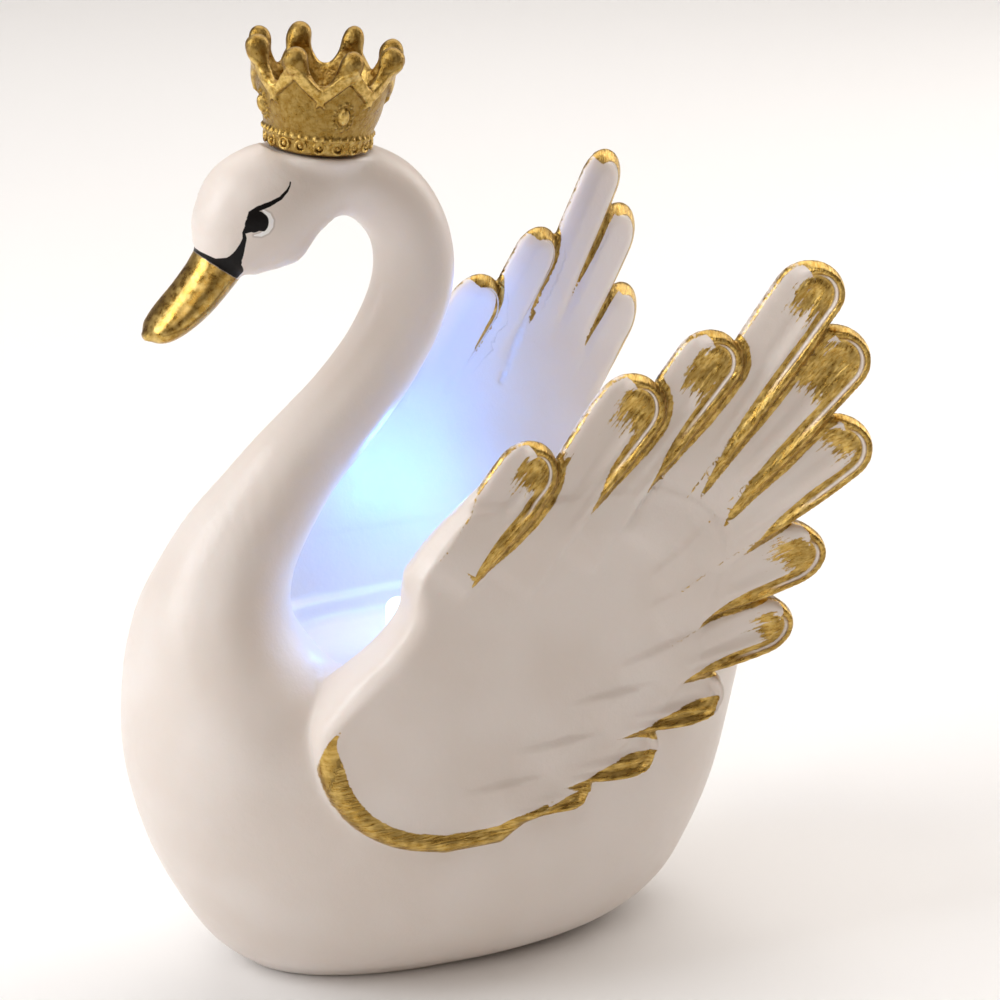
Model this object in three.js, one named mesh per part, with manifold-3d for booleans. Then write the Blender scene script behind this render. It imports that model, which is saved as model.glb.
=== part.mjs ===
// Crowned swan figurine with raised wings, a nest between them and a small lamp in the nest.
// Millimetres, +Z up. The swan faces -Y and its left side is +X.
// The origin is the centre of the flat underside.
import * as THREE from "three";
import { LoftGeometry } from "three/addons/geometries/LoftGeometry.js";
import { mergeVertices } from "three/addons/utils/BufferGeometryUtils.js";
import Module from "manifold-3d";

// The swan's own height without its crown. Tables below are in hundredths of it.
const FIGURE_HEIGHT = 100;
const U = FIGURE_HEIGHT / 100;

// Body: horizontal rings, [height, front y, rear y, half width].
const BODY_ROUNDNESS = 2.15;
const BODY_RINGS = [
  [0, -20.8, 22.4, 10.5],
  [0.8, -22.4, 25.8, 12.5],
  [2.6, -24.8, 29.8, 14.9],
  [6.0, -27.5, 33.3, 17.4],
  [10.5, -30.1, 35.8, 19.2],
  [16.0, -32.7, 38.3, 20.4],
  [21.5, -34.4, 40.0, 21.0],
  [27.0, -35.4, 41.1, 21.2],
  [31.5, -35.2, 41.5, 20.7],
  [35.0, -34.0, 40.4, 19.6],
  [37.8, -31.6, 38.2, 17.8],
  [39.8, -28.2, 34.0, 14.8],
  [40.5, -25.0, 29.0, 11.0],
];

// Neck and head: sections across the spine, [y, z, in-plane radius, radius along x].
const NECK = [
  [-18.0, 25.0, 12.8, 12.0],
  [-21.4, 31.5, 12.0, 15.4],
  [-23.8, 37.6, 11.2, 15.2],
  [-24.5, 43.2, 9.6, 12.4],
  [-23.6, 48.0, 8.1, 9.6],
  [-21.6, 52.4, 7.1, 7.7],
  [-18.2, 57.2, 6.15, 6.3],
  [-14.7, 61.6, 5.45, 5.5],
  [-11.1, 65.2, 5.1, 5.1],
  [-7.3, 69.0, 4.85, 4.9],
  [-2.9, 74.5, 4.7, 4.75],
  [0.1, 80.4, 4.7, 4.8],
  [0.8, 84.8, 4.65, 4.7],
  [-0.1, 89.2, 4.5, 4.6],
  [-2.6, 92.9, 4.45, 4.6],
  [-6.0, 95.0, 4.25, 4.9],
  [-9.4, 95.5, 4.3, 5.3],
  [-12.8, 95.0, 5.5, 5.9],
  [-15.8, 93.9, 6.7, 6.4],
  [-18.4, 92.2, 7.1, 6.4],
  [-20.6, 90.2, 6.0, 5.6],
  [-22.3, 88.2, 4.2, 4.3],
  [-23.0, 87.2, 2.6, 3.0],
];
const NECK_STATIONS = 31;
const NECK_POINTS = 16;

// Bill: [y, z, half thickness, half width], root to tip.
const BILL = [
  [-20.9, 89.7, 2.2, 3.0],
  [-22.8, 87.4, 2.75, 3.6],
  [-24.5, 85.3, 2.65, 3.65],
  [-26.4, 83.3, 2.45, 3.7],
  [-28.3, 81.7, 2.15, 3.7],
  [-29.8, 80.6, 1.75, 3.4],
  [-30.9, 80.0, 1.25, 2.7],
  [-31.6, 79.7, 0.55, 1.3],
];

// Tail: [y, z, half thickness, half width].
const TAIL = [
  [28.0, 27.0, 9.0, 11.5],
  [34.0, 31.5, 6.8, 9.6],
  [38.8, 35.2, 4.6, 7.4],
  [42.4, 38.2, 2.6, 5.0],
  [44.4, 40.0, 1.1, 2.2],
];

// Nest between the wings, an oval well cut into the back.
const NEST_FLOOR = 37.3;
const NEST_CENTRE_Y = 4.6;
const NEST_HALF_LENGTH = 18.2;
const NEST_HALF_WIDTH = 11.6;
const NEST_ROUNDNESS = 4;
const NEST_FLARE = 0.27;

// Wing shell: outer face, thickness, and the shares of the palm and the feathers.
const WING_X = 22.1;
const WING_ROOT_FLARE = 0.4;
const WING_TIP_FLARE = 0.0077;
const WING_TIP_THICKNESS = 3.0;
const WING_ROOT_THICKNESS = 9.8;
const RIM_LIFT = 0.5;

// Palm of the wing: [z, front y, rear y].
const PALM = [
  [20.3, -5.2, 2.0],
  [21.6, -10.6, 4.0],
  [24.2, -15.0, 9.0],
  [28.0, -17.9, 14.6],
  [32.0, -19.1, 20.0],
  [36.0, -19.2, 24.2],
  [39.0, -17.4, 26.2],
  [42.0, -14.8, 27.4],
  [45.5, -11.0, 27.9],
  [49.0, -8.6, 28.3],
  [53.0, -7.9, 28.8],
  [56.5, -6.3, 28.0],
  [59.5, -3.8, 25.4],
  [61.4, -1.6, 21.4],
];
const PALM_POINTS = 6;

// Feathers from the front one down to the lowest: root y z, tip y z, half width, rim height.
const FEATHERS = [
  { root: [-3.9, 54.4], tip: [8.0, 67.8], half: 3.7, rim: 0.9 },
  { root: [5.8, 55.6], tip: [20.4, 74.4], half: 3.9, rim: 1.0 },
  { root: [13.5, 57.2], tip: [29.0, 79.1], half: 3.5, rim: 1.0 },
  { root: [21.8, 58.1], tip: [39.4, 87.1], half: 3.5, rim: 1.1 },
  { root: [25.9, 57.3], tip: [42.3, 79.4], half: 4.0, rim: 1.1 },
  { root: [25.4, 51.2], tip: [43.3, 68.4], half: 4.0, rim: 1.1 },
  { root: [25.4, 46.0], tip: [40.0, 54.2], half: 4.1, rim: 1.1 },
  { root: [21.7, 38.4], tip: [38.2, 43.8], half: 3.7, rim: 1.1 },
  { root: [15.0, 33.7], tip: [30.6, 35.0], half: 3.7, rim: 1.1 },
  { root: [8.0, 28.8], tip: [22.3, 29.5], half: 3.7, rim: 1.1 },
  { root: [1.0, 25.4], tip: [13.6, 25.9], half: 2.9, rim: 1.0 },
];
const FEATHER_SHANK = 3;
const FEATHER_END = 4;

// Crown: a cone of wall on a low seat, leaning back with the head.
const CROWN_SEAT = [-10.8, 99.16];
const CROWN_LEAN = THREE.MathUtils.degToRad(6);
const CROWN_GAP = 0.3;
const CROWN_FOOT_RADIUS = 5.5;
const CROWN_SEAT_LIP = 0.35;
const CROWN_SEAT_DEPTH = 4.2;
const CROWN_WALL = 1.0;
const CROWN_FLOOR = 1.2;
const CROWN_POINTS = 8;
const CROWN_PHASE = THREE.MathUtils.degToRad(-22.5);
const CROWN_VALLEY = 8.2;
const CROWN_PEAK = 10.9;
const CROWN_KNOB = 1.3;
const CROWN_BAND = 2.2;
const CROWN_RELIEF = 0.4;
const CROWN_STRAP = 1.7;

// Lamp: a 3 mm round lamp in a bore in the nest's floor.
const LAMP_RADIUS = 1.5;
const LAMP_FLANGE_RADIUS = 1.9;
const LAMP_FLANGE = 0.8;
const LAMP_HEIGHT = 6.2;
const LAMP_STEM = 3.0;
const LAMP_CLEARANCE = 0.3;
const LAMP_Y = -1.6;

const wasm = await Module();
wasm.setup();

function solid(geometry) {
  const bare = new THREE.BufferGeometry();
  const flat = geometry.index ? geometry.toNonIndexed() : geometry;
  bare.setAttribute("position", flat.getAttribute("position"));
  const merged = mergeVertices(bare, 1e-4);
  return new wasm.Manifold(
    new wasm.Mesh({
      numProp: 3,
      vertProperties: new Float32Array(merged.attributes.position.array),
      triVerts: new Uint32Array(merged.index.array),
    }),
  );
}

function union(solids) {
  return solids.reduce((sum, next) => sum.add(next));
}

function meshOf(manifold, name, colour, roughness, metalness) {
  const data = manifold.getMesh();
  const geometry = new THREE.BufferGeometry();
  const positions = new THREE.Float32BufferAttribute(data.vertProperties, 3);
  geometry.setAttribute("position", positions);
  geometry.setIndex(new THREE.Uint32BufferAttribute(data.triVerts, 1));
  const facets = geometry.toNonIndexed();
  facets.computeVertexNormals();
  const material = new THREE.MeshStandardMaterial({ color: colour, roughness, metalness });
  const mesh = new THREE.Mesh(facets, material);
  mesh.name = name;
  return mesh;
}

function loft(sections) {
  return solid(new LoftGeometry(sections, { capStart: true, capEnd: true }));
}

function mirrored(sections) {
  return sections.map((section) =>
    section.map((p) => new THREE.Vector3(-p.x, p.y, p.z)).reverse(),
  );
}

function smooth(value) {
  const t = THREE.MathUtils.clamp(value, 0, 1);
  return t * t * (3 - 2 * t);
}

// Rounded oval: a point of a superellipse at an angle.
function oval(angle, roundness) {
  const c = Math.cos(angle);
  const s = Math.sin(angle);
  const power = 2 / roundness;
  return [Math.sign(c) * Math.abs(c) ** power, Math.sign(s) * Math.abs(s) ** power];
}

function body() {
  const around = 32;
  const sections = BODY_RINGS.map(([z, front, rear, half]) => {
    const centre = (front + rear) / 2;
    const long = (rear - front) / 2;
    return Array.from({ length: around }, (_, i) => {
      const [cx, sy] = oval((i / around) * 2 * Math.PI, BODY_ROUNDNESS);
      return new THREE.Vector3(half * cx * U, (centre + long * sy) * U, z * U);
    });
  });
  return loft(sections);
}

// Sections square to a spine that lies in the plane x = 0.
function spineLoft(stations, count, points) {
  const path = new THREE.CatmullRomCurve3(
    stations.map(([y, z]) => new THREE.Vector3(0, y, z)),
    false,
    "centripetal",
  );
  const radii = new THREE.CatmullRomCurve3(
    stations.map(([, , inPlane, along]) => new THREE.Vector3(inPlane, along, 0)),
    false,
    "centripetal",
  );
  const sections = Array.from({ length: count }, (_, i) => {
    const t = i / (count - 1);
    const at = path.getPoint(t);
    const way = path.getTangent(t);
    const radius = radii.getPoint(t);
    const across = new THREE.Vector3(0, way.z, -way.y);
    return Array.from({ length: points }, (_, j) => {
      const angle = (j / points) * 2 * Math.PI;
      return at
        .clone()
        .add(new THREE.Vector3(radius.y * Math.cos(angle), 0, 0))
        .addScaledVector(across, radius.x * Math.sin(angle))
        .multiplyScalar(U);
    });
  });
  return loft(sections);
}

// Outer face of the left wing at a place in its side view.
function wingFace(y, z) {
  const high = smooth((z - 28) / 33);
  const low = smooth((46 - z) / 22);
  const tip = WING_TIP_FLARE * Math.max(0, y - 9.4) ** 2 * high;
  const front = 0.013 * Math.max(0, -4 - y) ** 2 * smooth((50 - z) / 16);
  return WING_X + WING_ROOT_FLARE * low + tip - front;
}

function wingThickness(z) {
  const root = WING_ROOT_THICKNESS - WING_TIP_THICKNESS;
  return WING_TIP_THICKNESS + root * smooth((68 - z) / 32) ** 1.2;
}

// Plan sections of the palm: a rounded leading edge, the outer face, then the inner face.
function palmSections() {
  return PALM.map(([z, edge, rear]) => {
    const thick = wingThickness(z);
    const high = smooth((z - 36) / 7);
    const nose = THREE.MathUtils.lerp(1.2, 0.62 * thick, high);
    const centre = edge + nose + high * 0.27 * thick;
    const points = [];
    for (let i = 1; i <= 4; i++) {
      const angle = -Math.PI / 2 + (i / 5) * Math.PI;
      const y = centre - nose * Math.cos(angle);
      const x = wingFace(y, z) - thick / 2 + (thick / 2) * Math.sin(angle);
      points.push(new THREE.Vector3(x, y, z));
    }
    const outer = [];
    const inner = [];
    for (let i = 0; i < PALM_POINTS; i++) {
      const y = THREE.MathUtils.lerp(centre, rear, i / (PALM_POINTS - 1));
      const rim = RIM_LIFT * Math.exp(-(((y - edge) / 2.4) ** 2)) * (1 - high);
      outer.push(new THREE.Vector3(wingFace(y, z) + rim, y, z));
      inner.push(new THREE.Vector3(wingFace(y, z) - thick, y, z));
    }
    return [...points, ...outer, ...inner.reverse()].map((p) => p.multiplyScalar(U));
  });
}

// Cross-section of a feather: [share of half width, side, lift, rim share].
// Side 1 is the outer face, -1 the inner face and 0 the middle of the edge.
const FEATHER_SECTION = [
  [-0.88, 1, -0.5, 0],
  [-0.3, 1, 0.05, 0],
  [0.35, 1, 0.1, 0.15],
  [0.74, 1, 0.05, 0.95],
  [0.95, 1, 0.0, 0.85],
  [1.0, 0, 0.3, 0],
  [0.8, -1, 0.35, 0],
  [0.0, -1, 0.0, 0],
  [-0.84, -1, 0.4, 0],
  [-1.0, 0, -0.2, 0],
];

function featherSections({ root, tip, half, rim }) {
  const start = new THREE.Vector2(...root);
  const end = new THREE.Vector2(...tip);
  const length = start.distanceTo(end);
  const along = end.clone().sub(start).divideScalar(length);
  const right = new THREE.Vector2(along.y, -along.x);
  const round = (1.15 * half) / length;
  const sections = [];
  for (let i = 0; i <= FEATHER_SHANK + FEATHER_END; i++) {
    const cap = Math.sin((Math.max(0, i - FEATHER_SHANK) / FEATHER_END) * 0.46 * Math.PI);
    const t = (1 - round) * Math.min(1, i / FEATHER_SHANK) + round * cap;
    const width = half * (0.74 + 0.26 * smooth(t / 0.75)) * Math.sqrt(1 - cap ** 2);
    const grown = smooth((t - 0.15) / 0.5);
    const sunk = 0.8 * (1 - smooth((t - 0.05) / 0.35));
    const droop = 0.9 * cap ** 3;
    sections.push(
      FEATHER_SECTION.map(([share, side, lift, rimShare]) => {
        const at = start
          .clone()
          .addScaledVector(along, length * t)
          .addScaledVector(right, width * share);
        const face = wingFace(at.x, at.y);
        const thick = wingThickness(at.y);
        let x = face - thick / 2 + lift;
        if (side > 0) x = face + lift + rim * rimShare * grown - sunk - droop;
        if (side < 0) x = face - thick + lift + sunk + droop;
        return new THREE.Vector3(x, at.x, at.y).multiplyScalar(U);
      }),
    );
  }
  return sections;
}

function wings() {
  const parts = [palmSections(), ...FEATHERS.map(featherSections)];
  return union(parts.flatMap((sections) => [loft(sections), loft(mirrored(sections))]));
}

function nest() {
  const around = 28;
  const levels = [
    [0, -0.8],
    [0.7, 0],
    [9, NEST_FLARE * 8.3],
  ];
  return loft(
    levels.map(([up, grow]) =>
      Array.from({ length: around }, (_, i) => {
        const [cx, sy] = oval((i / around) * 2 * Math.PI, NEST_ROUNDNESS);
        const x = (NEST_HALF_WIDTH + grow) * cx;
        const y = NEST_CENTRE_Y + (NEST_HALF_LENGTH + 0.3 * grow) * sy;
        return new THREE.Vector3(x * U, y * U, (NEST_FLOOR + up) * U);
      }),
    ),
  );
}

function lathe(profile, segments) {
  const points = profile.map(([r, z]) => new THREE.Vector2(r, z));
  return new THREE.LatheGeometry(points, segments).rotateX(Math.PI / 2);
}

function crownPlace(geometry, lift) {
  const [y, z] = CROWN_SEAT;
  const rise = lift * Math.cos(CROWN_LEAN);
  return geometry
    .rotateX(-CROWN_LEAN)
    .translate(0, y * U + lift * Math.sin(CROWN_LEAN), z * U + rise);
}

function crownSeat() {
  const radius = (CROWN_FOOT_RADIUS + CROWN_SEAT_LIP) * U;
  const low = -CROWN_SEAT_DEPTH * U;
  const profile = [
    [0, low],
    [radius * 0.62, low],
    [radius, -0.6 * U],
    [radius, -0.15 * U],
    [radius - 0.2 * U, 0],
    [0, 0],
  ];
  return solid(crownPlace(lathe(profile, 20), 0));
}

// Room that the crown takes out of the top of the head, with the gap round it.
function crownRecess() {
  const high = 3;
  const foot = (crownRadius(0) + CROWN_RELIEF) * U + CROWN_GAP;
  const rim = (crownRadius(high) + CROWN_RELIEF) * U + CROWN_GAP;
  const profile = [
    [0, 0],
    [foot, 0],
    [rim, high * U],
    [0, high * U],
  ];
  return solid(crownPlace(lathe(profile, 20), 0));
}

function crownRadius(h) {
  return CROWN_FOOT_RADIUS + 0.31 * h - 0.0045 * h * h;
}

// Height of the crown's edge round its axis: a peak at each point, a valley between.
function crownEdge(angle) {
  const step = (2 * Math.PI) / CROWN_POINTS;
  const turn = THREE.MathUtils.euclideanModulo(angle - CROWN_PHASE, step) / step;
  const near = Math.abs(turn - 0.5) * 2;
  return THREE.MathUtils.lerp(CROWN_PEAK, CROWN_VALLEY, near ** 0.8);
}

function crown() {
  const around = CROWN_POINTS * 4;
  const sections = [];
  for (let i = 0; i <= around; i++) {
    const angle = CROWN_PHASE + (i / around) * 2 * Math.PI;
    const top = crownEdge(angle);
    const strap = top - CROWN_STRAP * (1.1 + 0.5 * ((top - CROWN_VALLEY) / 3));
    const profile = [
      [crownRadius(0) - CROWN_WALL, 0.4],
      [crownRadius(0) + 0.05, 0],
      [crownRadius(0.7) + CROWN_RELIEF * 0.7, 0.7],
      [crownRadius(CROWN_BAND) + CROWN_RELIEF, CROWN_BAND],
      [crownRadius(CROWN_BAND + 0.3), CROWN_BAND + 0.3],
      [crownRadius(strap), strap],
      [crownRadius(strap + 0.3) + CROWN_RELIEF, strap + 0.3],
      [crownRadius(top) + CROWN_RELIEF, top - 0.2],
      [crownRadius(top) - CROWN_WALL, top],
    ];
    sections.push(
      profile.map(
        ([r, h]) =>
          new THREE.Vector3(r * Math.cos(angle) * U, r * Math.sin(angle) * U, h * U),
      ),
    );
  }
  const closed = sections.slice(0, -1).concat([sections[0].map((p) => p.clone())]);
  const wall = new LoftGeometry(closed.reverse());
  const pieces = [solid(crownPlace(wall, CROWN_GAP))];
  const floorRadius = (crownRadius(0) - CROWN_WALL / 2) * U;
  const disc = [
    [0, 0.05 * U],
    [floorRadius, 0.05 * U],
    [floorRadius, CROWN_FLOOR * U],
    [0, CROWN_FLOOR * U],
  ];
  pieces.push(solid(crownPlace(lathe(disc, 20), CROWN_GAP)));
  for (let i = 0; i < CROWN_POINTS; i++) {
    const angle = CROWN_PHASE + ((i + 0.5) / CROWN_POINTS) * 2 * Math.PI;
    const r = (crownRadius(CROWN_PEAK) - 0.2) * U;
    const knob = new THREE.OctahedronGeometry(CROWN_KNOB * 1.06 * U, 1)
      .scale(1, 1, 1.15)
      .translate(r * Math.cos(angle), r * Math.sin(angle), CROWN_PEAK * U);
    pieces.push(solid(crownPlace(knob, CROWN_GAP)));
  }
  const gemRadius = crownRadius(5);
  for (let i = 0; i < CROWN_POINTS; i += 2) {
    const angle = CROWN_PHASE + ((i + 0.5) / CROWN_POINTS) * 2 * Math.PI;
    const gem = new THREE.OctahedronGeometry(1, 1)
      .scale(0.35 * U, 0.62 * U, 0.95 * U)
      .rotateZ(angle)
      .translate(gemRadius * Math.cos(angle) * U, gemRadius * Math.sin(angle) * U, 5 * U);
    pieces.push(solid(crownPlace(gem, CROWN_GAP)));
  }
  return union(pieces);
}

function lampProfile(grow) {
  const floor = NEST_FLOOR * U;
  const dome = floor + LAMP_HEIGHT - LAMP_RADIUS;
  const profile = [
    [0, floor - LAMP_STEM - grow],
    [LAMP_RADIUS + grow, floor - LAMP_STEM - grow],
  ];
  if (grow > 0) return [...profile, [LAMP_RADIUS + grow, floor + 1], [0, floor + 1]];
  profile.push([LAMP_RADIUS, floor + LAMP_CLEARANCE]);
  profile.push([LAMP_FLANGE_RADIUS, floor + LAMP_CLEARANCE]);
  profile.push([LAMP_FLANGE_RADIUS, floor + LAMP_CLEARANCE + LAMP_FLANGE]);
  profile.push([LAMP_RADIUS, floor + LAMP_CLEARANCE + LAMP_FLANGE]);
  profile.push([LAMP_RADIUS, dome]);
  for (let i = 1; i <= 4; i++) {
    const angle = (i / 4) * (Math.PI / 2);
    const r = i === 4 ? 0 : LAMP_RADIUS * Math.cos(angle);
    profile.push([r, dome + LAMP_RADIUS * Math.sin(angle)]);
  }
  return profile;
}

function lamp(grow) {
  return solid(lathe(lampProfile(grow), 14).translate(0, LAMP_Y * U, 0));
}

const swan = union([
  body(),
  spineLoft(NECK, NECK_STATIONS, NECK_POINTS),
  spineLoft(BILL, 11, 14),
  spineLoft(TAIL, 6, 14),
  crownSeat(),
])
  .subtract(crownRecess())
  .add(wings())
  .subtract(nest())
  .subtract(lamp(LAMP_CLEARANCE));

const root = new THREE.Group();
root.name = "swan_figurine";
root.add(meshOf(swan, "swan", 0xf1ebe4, 0.35, 0));
root.add(meshOf(crown(), "crown", 0xb8923c, 0.35, 0.9));
root.add(meshOf(lamp(0), "led_lamp", 0xcfe2ff, 0.15, 0));

export default root;
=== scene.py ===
"""Crowned swan figurine with raised, gold-edged wings and a lit nest between them.

Tables are in millimetres, +Z up; the swan faces -Y and its left side is +X.
"""

import math

import bpy
import numpy as np
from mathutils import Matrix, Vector


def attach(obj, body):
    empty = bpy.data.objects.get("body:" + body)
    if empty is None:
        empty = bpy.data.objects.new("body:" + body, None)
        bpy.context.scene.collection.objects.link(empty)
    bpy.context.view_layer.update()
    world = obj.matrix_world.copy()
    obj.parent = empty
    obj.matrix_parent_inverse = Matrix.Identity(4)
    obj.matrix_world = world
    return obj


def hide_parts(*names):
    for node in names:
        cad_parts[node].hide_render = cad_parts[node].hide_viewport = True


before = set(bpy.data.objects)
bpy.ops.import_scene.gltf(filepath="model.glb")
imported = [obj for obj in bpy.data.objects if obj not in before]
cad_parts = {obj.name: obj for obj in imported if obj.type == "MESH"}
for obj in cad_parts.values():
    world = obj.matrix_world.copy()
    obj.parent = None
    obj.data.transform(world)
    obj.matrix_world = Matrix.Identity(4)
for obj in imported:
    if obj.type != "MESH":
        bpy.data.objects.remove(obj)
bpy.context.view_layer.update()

MM = 0.001

# Swan, its forms.

# Body: horizontal rings, height, front y, rear y, half width.
BODY_ROUNDNESS = 2.15
BODY_RINGS = [
    (0, -20.8, 22.4, 10.5),
    (0.8, -22.4, 25.8, 12.5),
    (2.6, -24.8, 29.8, 14.9),
    (6.0, -27.5, 33.3, 17.4),
    (10.5, -30.1, 35.8, 19.2),
    (16.0, -32.7, 38.3, 20.4),
    (21.5, -34.4, 40.0, 21.0),
    (27.0, -35.4, 41.1, 21.2),
    (31.5, -35.2, 41.5, 20.7),
    (35.0, -34.0, 40.4, 19.6),
    (37.8, -31.6, 38.2, 17.8),
    (39.8, -28.2, 34.0, 14.8),
    (40.5, -25.0, 29.0, 11.0),
]

# Neck and head: y, z, radius in the plane x = 0, radius along x.
NECK = [
    (-18.0, 25.0, 12.8, 12.0),
    (-21.4, 31.5, 12.0, 15.4),
    (-23.8, 37.6, 11.2, 15.2),
    (-24.5, 43.2, 9.6, 12.4),
    (-23.6, 48.0, 8.1, 9.6),
    (-21.6, 52.4, 7.1, 7.7),
    (-18.2, 57.2, 6.15, 6.3),
    (-14.7, 61.6, 5.45, 5.5),
    (-11.1, 65.2, 5.1, 5.1),
    (-7.3, 69.0, 4.85, 4.9),
    (-2.9, 74.5, 4.7, 4.75),
    (0.1, 80.4, 4.7, 4.8),
    (0.8, 84.8, 4.65, 4.7),
    (-0.1, 89.2, 4.5, 4.6),
    (-2.6, 92.9, 4.45, 4.6),
    (-6.0, 95.0, 4.25, 4.9),
    (-9.4, 95.5, 4.3, 5.3),
    (-12.8, 95.0, 5.5, 5.9),
    (-15.8, 93.9, 6.7, 6.4),
    (-18.4, 92.2, 7.1, 6.4),
    (-20.6, 90.2, 6.0, 5.6),
    (-22.3, 88.2, 4.2, 4.3),
    (-23.0, 87.2, 2.6, 3.0),
]

# Bill and tail: y, z, half thickness, half width.
BILL = [
    (-20.9, 89.7, 2.2, 3.0),
    (-22.8, 87.4, 2.75, 3.6),
    (-24.5, 85.3, 2.65, 3.65),
    (-26.4, 83.3, 2.45, 3.7),
    (-28.3, 81.7, 2.15, 3.7),
    (-29.8, 80.6, 1.75, 3.4),
    (-30.9, 80.0, 1.25, 2.7),
    (-31.6, 79.7, 0.55, 1.3),
]
TAIL = [
    (28.0, 27.0, 9.0, 11.5),
    (34.0, 31.5, 6.8, 9.6),
    (38.8, 35.2, 4.6, 7.4),
    (42.4, 38.2, 2.6, 5.0),
    (44.4, 40.0, 1.1, 2.2),
]

# Nest, an oval well with a flat floor and flaring walls.
NEST_FLOOR = 37.3
NEST_CENTRE_Y = 4.6
NEST_HALF_LENGTH = 18.2
NEST_HALF_WIDTH = 11.6
NEST_ROUNDNESS = 4
NEST_FLARE = 0.27
NEST_HEIGHT = 9

# Wing shell.
WING_X = 22.1
WING_ROOT_FLARE = 0.4
WING_TIP_FLARE = 0.0077
WING_FRONT_TURN = 0.013
WING_TIP_THICKNESS = 3.0
WING_ROOT_THICKNESS = 9.8
RIM_LIFT = 0.5

# Palm of the wing: z, front y, rear y.
PALM = [
    (20.3, -5.2, 2.0),
    (21.6, -10.6, 4.0),
    (24.2, -15.0, 9.0),
    (28.0, -17.9, 14.6),
    (32.0, -19.1, 20.0),
    (36.0, -19.2, 24.2),
    (39.0, -17.4, 26.2),
    (42.0, -14.8, 27.4),
    (45.5, -11.0, 27.9),
    (49.0, -8.6, 28.3),
    (53.0, -7.9, 28.8),
    (56.5, -6.3, 28.0),
    (59.5, -3.8, 25.4),
    (61.4, -1.6, 21.4),
]

# Feathers from the front one down: root y z, tip y z, half width, rim height,
# length of the dry-brushed gold on the face of the tip, and the share of the feather's
# length at which its gold stroke starts.
FEATHERS = [
    ((-3.9, 54.4), (8.0, 67.8), 3.7, 0.9, 5.5, 0.0),
    ((5.8, 55.6), (20.4, 74.4), 3.9, 1.0, 6.5, 0.3),
    ((13.5, 57.2), (29.0, 79.1), 3.5, 1.0, 8.0, 0.25),
    ((21.8, 58.1), (39.4, 87.1), 3.5, 1.1, 6.5, 0.1),
    ((25.9, 57.3), (42.3, 79.4), 4.0, 1.1, 9.0, 0.02),
    ((25.4, 51.2), (43.3, 68.4), 4.0, 1.1, 4.5, 0.2),
    ((25.4, 46.0), (40.0, 54.2), 4.1, 1.1, 5.5, 0.0),
    ((21.7, 38.4), (38.2, 43.8), 3.7, 1.1, 4.5, 0.14),
    ((15.0, 33.7), (30.6, 35.0), 3.7, 1.1, 0.0, 0.05),
    ((8.0, 28.8), (22.3, 29.5), 3.7, 1.1, 0.0, 0.03),
    ((1.0, 25.4), (13.6, 25.9), 2.9, 1.0, 0.0, 0.13),
]

# Web that fills the corners between the roots of the upper feathers.
WEB = 5.0
FRONT_WEB = 4.0

# How far each feather runs back into the palm, the front one less.
FEATHER_BACK = 6.0
FRONT_FEATHER_BACK = 3.0

# Crown: seat on the head, lean of its axis, and the wall's measures.
CROWN_SEAT = (-10.8, 99.16)
CROWN_LEAN = math.radians(6)
CROWN_GAP = 0.3
CROWN_FOOT_RADIUS = 5.5
CROWN_SEAT_LIP = 0.35
CROWN_SEAT_DEPTH = 4.2
CROWN_WALL = 1.0
CROWN_FLOOR = 1.2
CROWN_POINTS = 8
CROWN_STEP = 2 * math.pi / CROWN_POINTS
CROWN_PHASE = math.radians(-22.5)
CROWN_POINT_ANGLES = [CROWN_PHASE + (k + 0.5) * CROWN_STEP for k in range(CROWN_POINTS)]
CROWN_VALLEY = 8.2
CROWN_PEAK = 10.9
CROWN_KNOB = 1.3
CROWN_BAND = 2.2
CROWN_RINGS = 18
CROWN_RING_HEIGHT = 0.95
CROWN_RING_OUT = 0.22
CROWN_RING_RADIUS = 0.62
CROWN_RING_WIRE = 0.17
CROWN_RING_BEAD = 0.28

# Lamp, a 3 mm round one in a bore in the nest's floor.
LAMP_Y = -1.6
LAMP_RADIUS = 1.5
LAMP_FLANGE_RADIUS = 1.9
LAMP_FLANGE = 0.8
LAMP_HEIGHT = 6.2
LAMP_STEM = 3.0
LAMP_CLEARANCE = 0.3

# Fillets where the swan's forms meet, and roundings of its cut edges.
NECK_FILLET = 4.0
TAIL_FILLET = 4.0
BILL_FILLET = 0.7
SEAT_FILLET = 1.0
WING_FILLET = 0.7
FAN_FILLET = 2.2
SEAT_EDGE = 0.3
NEST_EDGE = 1.4
FOOT_EDGE = 0.6
NECK_FOOT_ROUNDING = 1.8

# Relief of a feather: ridges along its rim as distance in from the edge and height, the
# dish inside them, its twist, and how deep its root sinks under the palm.
RIM_RIDGES = ((0.8, 1.0), (2.3, 0.42))
RIM_RIDGE_WIDTH = 0.5
FEATHER_RIDGE = 0.9
FEATHER_DISH = 0.3
FEATHER_TWIST = 0.42
FEATHER_SINK = 1.1
FEATHER_ROOT_SINK = 1.3
FEATHER_PUFF = 0.85
FEATHER_SIDE = 2.8
PALM_SIDE = 2.4
PALM_DIP = 1.1
PALM_DIP_WIDTH = 5

# Gold on the wing: width of a stroke low on the feather and at its tip, how far it laps
# past the edge, the hem and creases on the inner face, and the line round the wing's root.
GOLD_WIDTH = 2.6
GOLD_TIP_WIDTH = 2.1
GOLD_LAP = 0.95
GOLD_HEM = 1.3
GOLD_CREASE = 1.6
GOLD_LEAF = 0.66
ROOT_LINE = 1.3
ROOT_LINE_PLACE = 1.25
NO_GOLD = -3.0

# Grid pitches of the modelled skins, and the most triangles that each keeps.
SWAN_PITCH = 0.4
CROWN_PITCH = 0.17
SWAN_TRIANGLES = 190000
CROWN_TRIANGLES = 150000


# Numbers and curves.


def smooth(value):
    t = np.clip(value, 0, 1)
    return t * t * (3 - 2 * t)


def lerp(a, b, share):
    return a + (b - a) * share


def bell(value, width):
    return np.exp(-((value / width) ** 2))


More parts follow.
